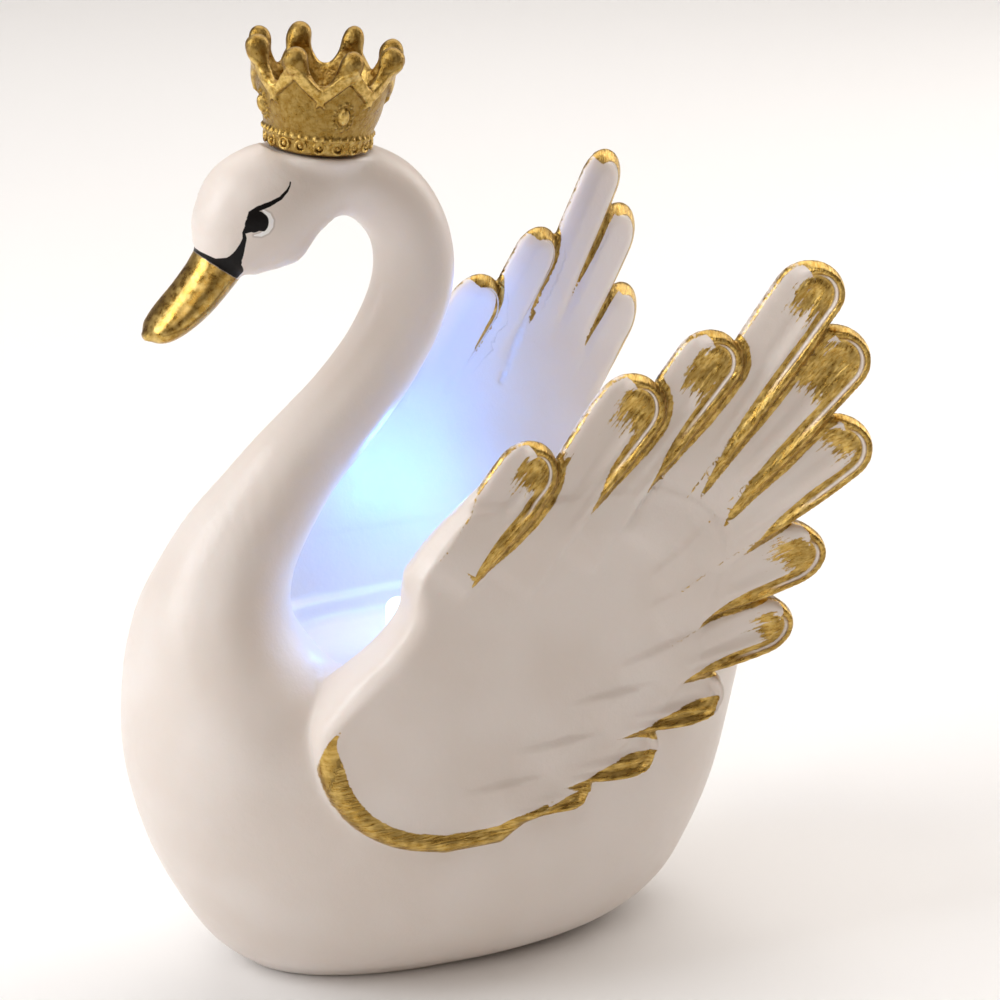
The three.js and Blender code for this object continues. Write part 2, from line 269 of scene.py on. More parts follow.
def soft_union(a, b, blend):
    """Union of two distance fields with a fillet of about that size."""
    near = np.maximum(blend - np.abs(a - b), 0) / blend
    return np.minimum(a, b) - near * near * blend / 4


def soft_cut(a, b, blend):
    """Field a with b taken out of it, its edge rounded."""
    return -soft_union(-a, b, blend)


def spline(rows, samples):
    """Points along a centripetal curve through the given rows."""
    p = np.asarray(rows, float)
    p = np.vstack([2 * p[0] - p[1], p, 2 * p[-1] - p[-2]])
    span = np.linalg.norm(np.diff(p, axis=0), axis=1) ** 0.5
    t = np.linspace(0, len(rows) - 1, samples)
    i = np.minimum(t.astype(int), len(rows) - 2)
    f = (t - i)[:, None]
    a, b, c, d = p[i], p[i + 1], p[i + 2], p[i + 3]
    before, here, after = (span[i + k][:, None] for k in range(3))
    leave = ((b - a) / before - (c - a) / (before + here) + (c - b) / here) * here
    arrive = ((c - b) / here - (d - b) / (here + after) + (d - c) / after) * here
    return (
        b
        + leave * f
        + (3 * c - 3 * b - 2 * leave - arrive) * f**2
        + (2 * b - 2 * c + leave + arrive) * f**3
    )


def outline_depth(outline, y, z):
    """How deep a place lies inside a closed outline of the side view, in mm."""
    nearest = np.full(np.broadcast(y, z).shape, 1e9)
    inside = np.zeros(nearest.shape, bool)
    for (ay, az), (by, bz) in zip(outline, np.roll(outline, -1, axis=0)):
        ry, rz = by - ay, bz - az
        share = np.clip(((y - ay) * ry + (z - az) * rz) / (ry * ry + rz * rz + 1e-12), 0, 1)
        gap = (y - ay - share * ry) ** 2 + (z - az - share * rz) ** 2
        nearest = np.minimum(nearest, gap)
        if az != bz:
            inside ^= ((az > z) != (bz > z)) & (y < (z - az) / (bz - az) * ry + ay)
    return np.where(inside, 1, -1) * np.sqrt(nearest)


# Fields of the forms.


def oblong_field(x, y, half_width, half_length, roundness):
    """Distance from the wall of an upright form whose level sections are rounded oblongs."""
    across, along = np.abs(x) / half_width, np.abs(y) / half_length
    ratio = (across**roundness + along**roundness) ** (1 / roundness) + 1e-9
    slope = ratio ** (1 - roundness) * np.hypot(
        across ** (roundness - 1) / half_width, along ** (roundness - 1) / half_length
    )
    return (ratio - 1) / (slope + 1e-6)


def body_field(x, y, z):
    rows = spline(BODY_RINGS, 400)
    front, rear, half = (np.interp(z, rows[:, 0], rows[:, k]) for k in (1, 2, 3))
    centre, length = (front + rear) / 2, (rear - front) / 2
    side = oblong_field(x, y - centre, half, length, BODY_ROUNDNESS)
    return np.maximum(side, z - BODY_RINGS[-1][0])


def spine_field(stations, x, y, z):
    """Tube of oval sections along a spine that lies in the plane x = 0."""
    rows = spline(stations, 420)
    shape = np.broadcast(y, z).shape
    flat_y = np.broadcast_to(y, shape).ravel()
    flat_z = np.broadcast_to(z, shape).ravel()
    nearest = np.empty(flat_y.size, int)
    for start in range(0, flat_y.size, 20000):
        part = slice(start, start + 20000)
        gap = (flat_y[part, None] - rows[:, 0]) ** 2 + (flat_z[part, None] - rows[:, 1]) ** 2
        nearest[part] = gap.argmin(1)
    offset = np.hypot(flat_y - rows[nearest, 0], flat_z - rows[nearest, 1]).reshape(shape)
    flat, wide = (rows[nearest, k].reshape(shape) for k in (2, 3))
    ratio = np.sqrt((x / wide) ** 2 + (offset / flat) ** 2) + 1e-6
    slope = np.sqrt((x / wide**2) ** 2 + (offset / flat**2) ** 2) / ratio
    return (ratio - 1) / (slope + 1e-3)


def crown_axes(x, y, z, lift):
    """Radius, angle and height of a place in the crown's own frame."""
    c, s = math.cos(CROWN_LEAN), math.sin(CROWN_LEAN)
    back, up = y - CROWN_SEAT[0], z - CROWN_SEAT[1]
    height = up * c + back * s - lift
    across = back * c - up * s
    return np.sqrt(x * x + across * across), np.arctan2(across, x), height


def crown_radius(h):
    return CROWN_FOOT_RADIUS + 0.31 * h - 0.0045 * h * h


def seat_field(x, y, z):
    radius, _, height = crown_axes(x, y, z, 0)
    lip = CROWN_FOOT_RADIUS + CROWN_SEAT_LIP
    taper = np.interp(height, [-CROWN_SEAT_DEPTH, -0.6, 0], [0.62 * lip, lip, lip - 0.1])
    return np.maximum(np.maximum(radius - taper, height), -CROWN_SEAT_DEPTH - height)


def crown_room_field(x, y, z):
    radius, _, height = crown_axes(x, y, z, 0)
    return np.maximum(radius - crown_radius(height) - 0.7, -height)


def nest_field(x, y, z):
    up = z - NEST_FLOOR
    grow = NEST_FLARE * (up - 0.7)
    half, length = NEST_HALF_WIDTH + grow, NEST_HALF_LENGTH + 0.3 * grow
    wall = oblong_field(x, y - NEST_CENTRE_Y, half, length, NEST_ROUNDNESS)
    well = -soft_union(-wall, up, 1.6)
    return np.maximum(well, up - NEST_HEIGHT)


def bore_field(x, y, z):
    radius = np.sqrt(x * x + (y - LAMP_Y) ** 2)
    bore = radius - LAMP_RADIUS - LAMP_CLEARANCE
    deep = NEST_FLOOR - LAMP_STEM - LAMP_CLEARANCE - z
    return np.maximum(np.maximum(bore, deep), z - NEST_FLOOR - 2)


def wing_face(y, z):
    """Outer face of the left wing at a place in its side view."""
    high = smooth((z - 28) / 33)
    low = smooth((46 - z) / 22)
    tip = WING_TIP_FLARE * np.maximum(0, y - 9.4) ** 2 * high
    front = WING_FRONT_TURN * np.maximum(0, -4 - y) ** 2 * smooth((50 - z) / 16)
    return WING_X + WING_ROOT_FLARE * low + tip - front


def wing_thickness(z):
    root = WING_ROOT_THICKNESS - WING_TIP_THICKNESS
    return WING_TIP_THICKNESS + root * smooth((68 - z) / 32) ** 1.2


def feather_run(feather):
    """Root, direction and length of a feather in the side view."""
    (ry, rz), (ty, tz) = feather[:2]
    length = math.hypot(ty - ry, tz - rz)
    return ry, rz, (ty - ry) / length, (tz - rz) / length, length


def feather_axes(feather, y, z):
    """Place along and across a feather, as shares of its length and half width."""
    ry, rz, ay, az, length = feather_run(feather)
    along = ((y - ry) * ay + (z - rz) * az) / length
    across = ((y - ry) * az - (z - rz) * ay) / feather[2]
    return along, across, length


def rim_side(t, v):
    """Share of the raised rim: full on the lower side, round the tip and fading past it."""
    return smooth((v + 0.15 + 0.75 * smooth((t - 0.8) / 0.15)) / 0.5)


def feather_back(feather):
    """How far a feather's root runs back under the palm, in mm."""
    return FRONT_FEATHER_BACK if feather is FEATHERS[0] else FEATHER_BACK


def feather_outline(feather):
    ry, rz, ay, az, length = feather_run(feather)
    half = feather[2]
    dome = 1.15 * half / length
    back = feather_back(feather)
    sides = [(-back, 0.8 * half)]
    for i in range(26):
        turn = max(0, i - 9) / 16 * math.pi / 2
        t = (1 - dome) * min(1, i / 9) + dome * math.sin(turn)
        width = half * (0.74 + 0.26 * smooth(t / 0.75)) * math.cos(turn)
        sides.append((t * length, width))
    ring = [(u, v) for u, v in sides] + [(u, -v) for u, v in sides[-2::-1]]
    return np.array([(ry + ay * u + az * v, rz + az * u - ay * v) for u, v in ring])


def palm_outline():
    rows = spline(PALM, 60)
    front = rows[:, [1, 0]]
    rear = rows[::-1][:, [2, 0]]
    return np.vstack([front, rear])


def wing_relief(y, z):
    """Everything that the side view decides about the left wing, as 2-D fields."""
    palm = outline_depth(palm_outline(), y, z)
    edge = palm.copy()
    under_feathers = smooth((y - 6) / 8)
    dip = -PALM_DIP * smooth((PALM_DIP_WIDTH - palm) / PALM_DIP_WIDTH) * under_feathers
    outer = dip + np.where(palm > 0, 0, PALM_SIDE * palm)
    inner = np.where(palm > 0, 0, -PALM_SIDE * palm)
    edge_rim = smooth((44 - z) / 8)
    outer = outer + RIM_LIFT * bell(palm - 1.1, 1.1) * edge_rim
    fan = np.full(palm.shape, -40.0)
    top = np.full(palm.shape, -1)
    along, across, depth = (np.zeros(palm.shape) for _ in range(3))
    first, second = (np.full(palm.shape, -9.0) for _ in range(2))
    for i, feather in enumerate(FEATHERS):
        t, v, length = feather_axes(feather, y, z)
        inside = outline_depth(feather_outline(feather), y, z)
        rim = feather[3]
        grown = smooth((t - 0.06) / 0.42)
        side = rim_side(t, v)
        ridge = sum(high * bell(inside - place, RIM_RIDGE_WIDTH) for place, high in RIM_RIDGES)
        dish = -FEATHER_DISH * smooth((inside - 2.6) / 1.4)
        twist = FEATHER_TWIST * np.clip(v, -1, 1)
        lift = (FEATHER_RIDGE * rim * ridge * side + dish + twist) * grown
        root_gap = t * length + feather_back(feather)
        sunk = FEATHER_SINK * (1 - smooth((t + 0.3) / 0.45))
        sunk = sunk + FEATHER_ROOT_SINK * (1 - smooth(root_gap / 3))
        fall = np.where(inside > 0, 0, FEATHER_SIDE * inside)
        height = lift - sunk + fall
        puff = FEATHER_PUFF * (1 - smooth(inside / 2.4)) * smooth((t - 0.25) / 0.3)
        hollow = puff - fall + 0.12 * sunk
        wins = height > fan
        top = np.where(wins, i, top)
        along = np.where(wins, t * length, along)
        across = np.where(wins, v * feather[2], across)
        depth = np.where(wins, inside, depth)
        fan = np.maximum(fan, height)
        inner = np.minimum(inner, hollow)
        web = WEB * under_feathers * smooth((z - 45) / 6) * (1 - smooth((t - 0.1) / 0.3))
        if i == 0:
            web = FRONT_WEB * smooth((z - 46) / 5) * (1 - smooth((t - 0.4) / 0.4))
        edge = -soft_union(-edge, -inside, web + 0.01)
        grown_inside = np.where(t > 0.35, inside, -9)
        second = np.maximum(second, np.minimum(first, grown_inside))
        first = np.maximum(first, grown_inside)
    face = wing_face(y, z)
    top = np.where(fan > outer, top, -1)
    outer = -soft_union(-outer, -fan, FAN_FILLET)
    return {
        "edge": edge,
        "palm": palm,
        "outer": face + outer,
        "inner": face - wing_thickness(z) + inner,
        "top": top,
        "along": along,
        "across": across,
        "depth": depth,
        "deepest": first,
        "seam": first - second,
    }


def wing_field(x, y, z, relief):
    middle = (relief["outer"] + relief["inner"]) / 2
    half = (relief["outer"] - relief["inner"]) / 2
    front = smooth((z - 36) / 7) * smooth((4 - y) / 6)
    corner = np.clip(lerp(1.25, 0.3 * wing_thickness(z), front), 0.9, 3)
    corner = np.minimum(corner, np.maximum(half, 0.4))
    flat = np.abs(x - middle) - half + corner
    rim = -relief["edge"] + corner
    outside = np.sqrt(np.maximum(flat, 0) ** 2 + np.maximum(rim, 0) ** 2)
    return outside + np.minimum(np.maximum(flat, rim), 0) - corner


def even(field, pitch):
    """The field over its own steepness, so that it reads as a distance near the skin."""
    steep = np.sqrt(sum(g * g for g in np.gradient(field, pitch)))
    return field / np.clip(steep, 0.5, 6)


def rounded(field, spread):
    """The field with its creases worn round, by a bell curve of that many grid steps."""
    reach = math.ceil(2.5 * spread)
    steps = np.arange(-reach, reach + 1)
    shares = np.exp(-0.5 * (steps / spread) ** 2)
    shares = shares / shares.sum()
    for axis in range(3):
        margin = [(reach, reach) if k == axis else (0, 0) for k in range(3)]
        # mirrored over the middle plane, carried on in line past the other sides
        wide = np.pad(field, margin, mode="reflect", reflect_type="odd" if axis else "even")
        size = field.shape[axis]
        field = sum(
            share * np.take(wide, range(k, k + size), axis) for k, share in enumerate(shares)
        )
    return field


def swan_field(x, y, z, relief):
    body = even(body_field(x, y, z), SWAN_PITCH)
    neck = spine_field(NECK, x, y, z)
    swan = soft_union(body, neck, NECK_FILLET)
    swan = soft_union(swan, spine_field(TAIL, x, y, z), TAIL_FILLET)
    foot = smooth((58 - z) / 8) * smooth((4 - y) / 8)
    swan = lerp(swan, rounded(swan, NECK_FOOT_ROUNDING / SWAN_PITCH), foot)
    swan = soft_union(swan, spine_field(BILL, x, y, z), BILL_FILLET)
    swan = soft_union(swan, seat_field(x, y, z), SEAT_FILLET)
    swan = soft_cut(swan, crown_room_field(x, y, z), SEAT_EDGE)
    wing = even(wing_field(np.abs(x), y, z, relief), SWAN_PITCH)
    swan = soft_union(swan, wing, WING_FILLET)
    swan = soft_cut(swan, nest_field(x, y, z), NEST_EDGE)
    swan = np.maximum(swan, -bore_field(x, y, z))
    return soft_cut(swan, z, FOOT_EDGE)


# Skins from fields.


def skin(field, origin, pitch):
    """Quads and vertices of the zero skin of a field on a regular grid."""
    inside = field < 0
    cells = tuple(n - 1 for n in field.shape)
    total = [np.zeros(cells, np.float32) for _ in range(3)]
    hits = np.zeros(cells, np.float32)
    crossings = []
    for axis in range(3):
        low = [slice(None)] * 3
        high = [slice(None)] * 3
        low[axis], high[axis] = slice(None, -1), slice(1, None)
        a, b = field[tuple(low)], field[tuple(high)]
        cross = inside[tuple(low)] != inside[tuple(high)]
        crossings.append(cross)
        where = np.array(np.nonzero(cross))
        a, b = a[cross], b[cross]
        place = where.astype(np.float32)
        place[axis] += a / (a - b)
        others = [k for k in range(3) if k != axis]
        for back in np.ndindex(2, 2):
            cell = where.copy()
            cell[others] -= np.array(back)[:, None]
            ok = np.all((cell >= 0) & (cell < np.array(cells)[:, None]), axis=0)
            index = tuple(cell[:, ok])
            for k in range(3):
                np.add.at(total[k], index, place[k, ok])
            np.add.at(hits, index, 1)
    used = hits > 0
    number = np.full(cells, -1)
    number[used] = np.arange(used.sum())
    points = np.stack([t[used] / hits[used] for t in total], 1) * pitch + origin
    quads = []
    for axis, cross in enumerate(crossings):
        where = np.array(np.nonzero(cross))
        others = [k for k in range(3) if k != axis]
        ok = np.all([(where[k] > 0) & (where[k] < cells[k]) for k in others], axis=0)
        where = where[:, ok]
        corners = []
        for back in ((1, 1), (0, 1), (0, 0), (1, 0)):
            cell = where.copy()
            cell[others] -= np.array(back)[:, None]
            corners.append(number[tuple(cell)])
        quad = np.stack(corners, 1)
        flip = inside[tuple(where)] ^ (axis == 1)
        quads.append(np.where(flip[:, None], quad, quad[:, ::-1]))
    return points, np.vstack(quads)


def sample(field, points, origin, pitch):
    """Field values between the grid's nodes."""
    place = (points - origin) / pitch
    low = np.clip(np.floor(place).astype(int), 0, np.array(field.shape) - 2)
    f = np.clip(place - low, 0, 1)
    value = 0
    for corner in np.ndindex(2, 2, 2):
        weight = np.prod([f[:, k] if corner[k] else 1 - f[:, k] for k in range(3)], axis=0)
        value = value + weight * field[tuple(low[:, k] + corner[k] for k in range(3))]
    return value


def slope_at(field, points, origin, pitch):
    step = np.eye(3) * pitch * 0.8
    return np.stack(
        [
            sample(field, points + s, origin, pitch) - sample(field, points - s, origin, pitch)
            for s in step
        ],
        1,
    ) / (1.6 * pitch)


def settle(field, points, origin, pitch, rounds=3):
    """Moves points on to the skin, and gives the skin's directions there."""
    for _ in range(rounds):
        slope = slope_at(field, points, origin, pitch)
        steep = np.maximum((slope**2).sum(1), 0.2)
        move = sample(field, points, origin, pitch) / steep
        points = points - slope * np.clip(move, -pitch, pitch)[:, None]
    slope = slope_at(field, points, origin, pitch)
    return points, slope / (np.linalg.norm(slope, axis=1)[:, None] + 1e-9)


def grid(low, high, pitch):
    axes = [np.arange(a, b + pitch, pitch, dtype=np.float32) for a, b in zip(low, high)]
    x, y, z = axes[0][:, None, None], axes[1][None, :, None], axes[2][None, None, :]
    return x, y, z


def placed_object(name, data):
    piece = bpy.data.objects.new(name, data)
    bpy.context.scene.collection.objects.link(piece)
    return piece


def mesh_object(name, points, faces):
    mesh = bpy.data.meshes.new(name)
    points = np.asarray(points, np.float32) * MM
    faces = np.asarray(faces, np.int32)
    mesh.vertices.add(len(points))
    mesh.vertices.foreach_set("co", points.ravel())
    mesh.loops.add(faces.size)
    mesh.loops.foreach_set("vertex_index", faces.ravel())
    mesh.polygons.add(len(faces))
    mesh.polygons.foreach_set("loop_start", np.arange(len(faces), dtype=np.int32) * faces.shape[1])
    mesh.update(calc_edges=True)
    mesh.validate()
    return placed_object(name, mesh)


def thinned(piece, triangles):
    """The same piece with at most that many triangles, kept where it curves most."""
    now = sum(len(p.vertices) - 2 for p in piece.data.polygons)
    if now > triangles:
        modifier = piece.modifiers.new("thin", "DECIMATE")
        modifier.ratio = triangles / now
        bpy.context.view_layer.update()
        depsgraph = bpy.context.evaluated_depsgraph_get()
        mesh = bpy.data.meshes.new_from_object(piece.evaluated_get(depsgraph))
        piece.modifiers.remove(modifier)
        piece.data = mesh
    return piece


def casting(name, field, origin, pitch, triangles):
    """Smooth mesh on a field's zero skin, and the places of its vertices in mm."""
    points, quads = skin(field, origin, pitch)
    points, _ = settle(field, points, origin, pitch)
    piece = thinned(mesh_object(name, points, quads), triangles)
    mesh = piece.data
    places = np.empty(len(mesh.vertices) * 3, np.float32)
    mesh.vertices.foreach_get("co", places)
    places, directions = settle(field, places.reshape(-1, 3) / MM, origin, pitch, 2)
    mesh.vertices.foreach_set("co", (places * MM).astype(np.float32).ravel())
    mesh.polygons.foreach_set("use_smooth", [True] * len(mesh.polygons))
    mesh.normals_split_custom_set_from_vertices(directions.tolist())
    mesh.update()
    return piece, places


def set_attribute(mesh, name, values):
    kind, item = ("FLOAT", "value") if values.ndim == 1 else ("FLOAT_VECTOR", "vector")
    slot = mesh.attributes.new(name, kind, "POINT")
    slot.data.foreach_set(item, values.astype(np.float32).ravel())


# Gold on the wings.


def wing_gold(x, y, z, wing_gap):
    """Depth, in mm, inside the solid gold and inside the dry-brushed gold of the wing."""
    relief = wing_relief(y, z)
    outer_side = x > lerp(relief["inner"], relief["outer"], 0.35)
    solid, dry, inner_solid = (np.full(len(y), NO_GOLD) for _ in range(3))
    groove = np.zeros(len(y))
    deepest, seam, edge = relief["deepest"], relief["seam"], relief["edge"]
    for i, feather in enumerate(FEATHERS):
        t, v, length = feather_axes(feather, y, z)
        inside = outline_depth(feather_outline(feather), y, z)
        half, patch, start = feather[2], feather[4], feather[5]
        taper = np.clip((t - start) / 0.4, 0, 1) ** 0.75
        own = relief["top"] == i
        if patch:
            side = smooth((v + 0.1 + 0.75 * smooth((t - 0.76) / 0.22)) / 0.7)
            width = taper * side * lerp(GOLD_WIDTH, GOLD_TIP_WIDTH, smooth((t - 0.6) / 0.25))
            lapped = GOLD_LAP * taper * side + inside
            band = np.minimum(width - inside, lapped)
            on_palm = (relief["top"] == -1) & (v > 0)
            shows = (own | on_palm | ((t < 0.6) & (inside < 1.2))) & (taper > 0)
            solid = np.where(shows, np.maximum(solid, band), solid)
            step = np.minimum(lapped, 0.2 - inside)
            solid = np.where(taper > 0, np.maximum(solid, step), solid)
            from_tip = (1 - t) * length
            brushed = np.minimum((patch - from_tip) * 0.35, (v + 0.65) * 1.5)
            brushed = np.minimum(brushed, (inside - 1.6) * 2)
            dry = np.where(own, np.maximum(dry, brushed), dry)
            open_groove = smooth((t - 0.5) / 0.2) * smooth((v + 0.3) / 0.4)
            groove = np.where(own, open_groove, groove)
        else:
            upper = lerp(0.75, 0.1, smooth((t - start) / 0.8))
            height = GOLD_LEAF * smooth((t - start) / 0.45) * smooth((0.95 - t) / 0.12)
            wedge = np.minimum(v - upper, upper + height - v) * half
            solid = np.maximum(solid, np.where(height > 0, wedge, NO_GOLD))
        reached = np.where(inside > deepest - 0.01, smooth((t - 0.35) / 0.45), 0)
        hem = GOLD_HEM * reached * rim_side(t, v) - np.abs(edge)
        crease = np.minimum(GOLD_CREASE * reached - 0.2 - seam, 2 * deepest + 0.4)
        inner_solid = np.where(reached > 0, np.maximum(hem, crease), inner_solid)
    root = ROOT_LINE * smooth((38.5 - z) / 7) * smooth((9 - y) / 8)
    root_line = root - np.abs(relief["palm"] - ROOT_LINE_PLACE)
    solid = np.maximum(solid, np.where(root > 0, root_line, NO_GOLD))
    dry = np.maximum(dry, 0.5 - np.hypot((y - 10.1) / 1.0, (z - 66.0) / 1.6))
    solid = np.where(outer_side, solid, inner_solid - 3 * smooth((66 - z) / 6) * (y < 32))
    dry = np.where(outer_side, dry, NO_GOLD)
    off_wing = 4 * smooth((wing_gap - 0.3) / 0.4)
    return solid - off_wing, dry - off_wing, groove, relief


def make_swan():
    low, high = (0.0, -37.0, -1.2), (34.4, 46.8, 101.6)
    pitch = SWAN_PITCH
    x, y, z = grid(low, high, pitch)
    relief = wing_relief(y, z)
    half = swan_field(x, y, z, relief).astype(np.float32)
    field = np.concatenate([half[:0:-1], half])
    origin = np.array([-(len(half) - 1) * pitch, low[1], low[2]])
    piece, places = casting("swan_body", field, origin, pitch, SWAN_TRIANGLES)
    px, py, pz = np.abs(places[:, 0]), places[:, 1], places[:, 2]
    gap = wing_field(px, py, pz, wing_relief(py, pz))
    solid, dry, groove, relief = wing_gold(px, py, pz, gap)
    depth = np.where(relief["top"] >= 0, relief["depth"], 9.0)
    set_attribute(piece.data, "gold_paint", np.stack([solid, dry, depth], 1))
    brush = np.stack([relief["along"], relief["across"], groove], 1)
    set_attribute(piece.data, "brush_way", brush)
    return piece


# Crown and lamp.


def crown_edge(angle):
    """Height of the crown's edge: a round finger at each point, a round valley between."""
    turn = np.mod(angle - CROWN_PHASE, CROWN_STEP) - CROWN_STEP / 2
    away = np.abs(turn) * crown_radius(CROWN_PEAK)
    return lerp(CROWN_VALLEY, CROWN_PEAK, smooth((2.9 - away) / 2.5))


def crown_relief(angle, height):
    """Raised straps, gems, beads and scrolls on the crown's outer face, 0 to 1."""
    arc = crown_radius(height)
    relief = np.zeros(np.broadcast(angle, height).shape)
    for k, centre in enumerate(CROWN_POINT_ANGLES):
        turn = np.mod(angle - centre + math.pi, 2 * math.pi) - math.pi
        away = np.abs(turn) * arc
        line = CROWN_PEAK - 1.3 - 0.95 * away
        strap = smooth((0.86 - np.abs(height - line) * 0.74) / 0.25)
        reach = smooth((3.5 - away) / 0.45)
        relief = np.maximum(relief, strap * reach)
        if k % 2 == 0:
            gem = 1 - (away / 0.72) ** 2 - ((height - 4.7) / 1.1) ** 2
            relief = np.maximum(relief, 1.6 * np.sqrt(np.clip(gem, 0, 1)))
            ring = np.sqrt((away / 1.1) ** 2 + ((height - 4.7) / 1.5) ** 2)
            bead = np.cos(12 * np.arctan2(height - 4.7, turn * arc)) * 0.5 + 0.5
            relief = np.maximum(relief, 0.7 * bead * bell(ring - 1, 0.16))
    band = smooth((CROWN_BAND - height) / 0.35) * smooth((height + 0.1) / 0.3)
    beads = (np.cos(angle * 44) * 0.5 + 0.5) ** 0.6
    bead_row = beads * bell(height - CROWN_BAND + 0.35, 0.3)
    return np.maximum(np.maximum(relief, band * 0.45), bead_row)


def crown_field(x, y, z):
    radius, angle, height = crown_axes(x, y, z, CROWN_GAP)
    relief = crown_relief(angle, height)
    cast = 0.1 * np.sin(3 * angle + height) + 0.07 * np.sin(7 * angle - 1.6 * height)
    out = crown_radius(height) + 0.45 * relief + 0.6 * cast
    inn = crown_radius(height) - CROWN_WALL + 0.6 * cast
    edge = (height - crown_edge(angle) - cast) * 0.75
    wall = np.maximum(radius - out, inn - radius)
    wall = soft_cut(wall, -edge, 0.8)
    wall = soft_cut(wall, height, 0.4)
    floor = np.maximum(np.maximum(radius - crown_radius(0.6) + 0.3, height - CROWN_FLOOR), -height)
    crown = soft_union(wall, floor, 0.4)
    reach = crown_radius(CROWN_PEAK) - 0.25
    px, py = radius * np.cos(angle), radius * np.sin(angle)
    rise = (height - CROWN_PEAK) / 1.15
    for centre in CROWN_POINT_ANGLES:
        east, north = px - reach * math.cos(centre), py - reach * math.sin(centre)
        knob = np.sqrt(east**2 + north**2 + rise**2) - CROWN_KNOB
        crown = soft_union(crown, knob - cast, 1.1)
    return crown, relief


def make_crown():
    low, high = (-11.5, -22.0, 98.0), (11.5, 2.8, 113.4)
    x, y, z = grid(low, high, CROWN_PITCH)
    field, _ = crown_field(x, y, z)
    field = even(field, CROWN_PITCH).astype(np.float32)
    origin = np.array(low)
    piece, places = casting("crown_cast", field, origin, CROWN_PITCH, CROWN_TRIANGLES)
    _, relief = crown_field(*places.T)
    set_attribute(piece.data, "relief", relief)
    return piece


def tree_ends(tree, sockets, made):
    """Named inputs and the one output of a node group, and its two end nodes' sockets."""
    for name, kind in sockets:
        tree.interface.new_socket(name=name, in_out="INPUT", socket_type="NodeSocket" + kind)
    name, kind = made
    tree.interface.new_socket(name=name, in_out="OUTPUT", socket_type="NodeSocket" + kind)
    return tree.nodes.new("NodeGroupInput").outputs, tree.nodes.new("NodeGroupOutput").inputs


def band_rings_tree(inputs):
    """Geometry Nodes: rings with a bead in each, set round a leaning band."""
    tree = bpy.data.node_groups.new("band_rings", "GeometryNodeTree")
    kinds = {int: "Int", float: "Float", tuple: "Vector"}
    sockets = [(name, kinds.get(type(value), "Material")) for name, value in inputs.items()]
    given, result = tree_ends(tree, sockets, ("Mesh", "Geometry"))

    def step(kind, **values):
        node = tree.nodes.new(kind)
        for name, value in values.items():
            socket = node.inputs[name.replace("_", " ")]
            if isinstance(value, bpy.types.NodeSocket):
                tree.links.new(value, socket)
            else:
                socket.default_value = value
        return node

    band = step("GeometryNodeMeshCircle", Vertices=given["Rings"], Radius=given["Band radius"])
    path = step("GeometryNodeCurvePrimitiveCircle", Resolution=24, Radius=given["Ring radius"])
    wire = step("GeometryNodeCurvePrimitiveCircle", Resolution=10, Radius=given["Wire radius"])
    ring = step("GeometryNodeCurveToMesh", Curve=path.outputs[0], Profile_Curve=wire.outputs[0])
    bead = step("GeometryNodeMeshUVSphere", Segments=14, Rings=8, Radius=given["Bead radius"])
    motif = step("GeometryNodeJoinGeometry")
    tree.links.new(ring.outputs[0], motif.inputs[0])
    tree.links.new(bead.outputs[0], motif.inputs[0])
    smooth_motif = step("GeometryNodeSetShadeSmooth", Geometry=motif.outputs[0])
    place = step("GeometryNodeInputPosition")
    outward = step("FunctionNodeAlignRotationToVector", Vector=place.outputs[0])
    outward.axis = "Z"
    row = step(
        "GeometryNodeInstanceOnPoints",
        Points=band.outputs[0],
        Instance=smooth_motif.outputs[0],
        Rotation=outward.outputs[0],
    )
    placed = step(
        "GeometryNodeTransform",
        Geometry=row.outputs[0],
        Translation=given["Place"],
        Rotation=given["Lean"],
    )
    real = step("GeometryNodeRealizeInstances", Geometry=placed.outputs[0])
    finished = step("GeometryNodeSetMaterial", Geometry=real.outputs[0], Material=given["Metal"])
    tree.links.new(finished.outputs[0], result[0])
    return tree


def make_band_rings(metal):
    """The row of beaded rings on the crown's band."""
    rise = CROWN_GAP + CROWN_RING_HEIGHT
    values = {
        "Rings": CROWN_RINGS,
        "Band radius": (crown_radius(CROWN_RING_HEIGHT) + CROWN_RING_OUT) * MM,
        "Ring radius": CROWN_RING_RADIUS * MM,
        "Wire radius": CROWN_RING_WIRE * MM,
        "Bead radius": CROWN_RING_BEAD * MM,
        "Place": (
            0.0,
            (CROWN_SEAT[0] + rise * math.sin(CROWN_LEAN)) * MM,
            (CROWN_SEAT[1] + rise * math.cos(CROWN_LEAN)) * MM,
        ),
        "Lean": (-CROWN_LEAN, 0.0, 0.0),
        "Metal": metal,
    }
    piece = placed_object("crown_band_rings", bpy.data.meshes.new("crown_band_rings"))
    modifier = piece.modifiers.new("band_rings", "NODES")
    modifier.node_group = band_rings_tree(values)
    for item in modifier.node_group.interface.items_tree:
        if item.in_out == "INPUT":
            modifier[item.identifier] = values[item.name]
    settled = piece.evaluated_get(bpy.context.evaluated_depsgraph_get())
    mesh = bpy.data.meshes.new_from_object(settled)
    piece.modifiers.clear()
    piece.data = mesh
    set_attribute(mesh, "relief", np.full(len(mesh.vertices), 0.8))
    return piece


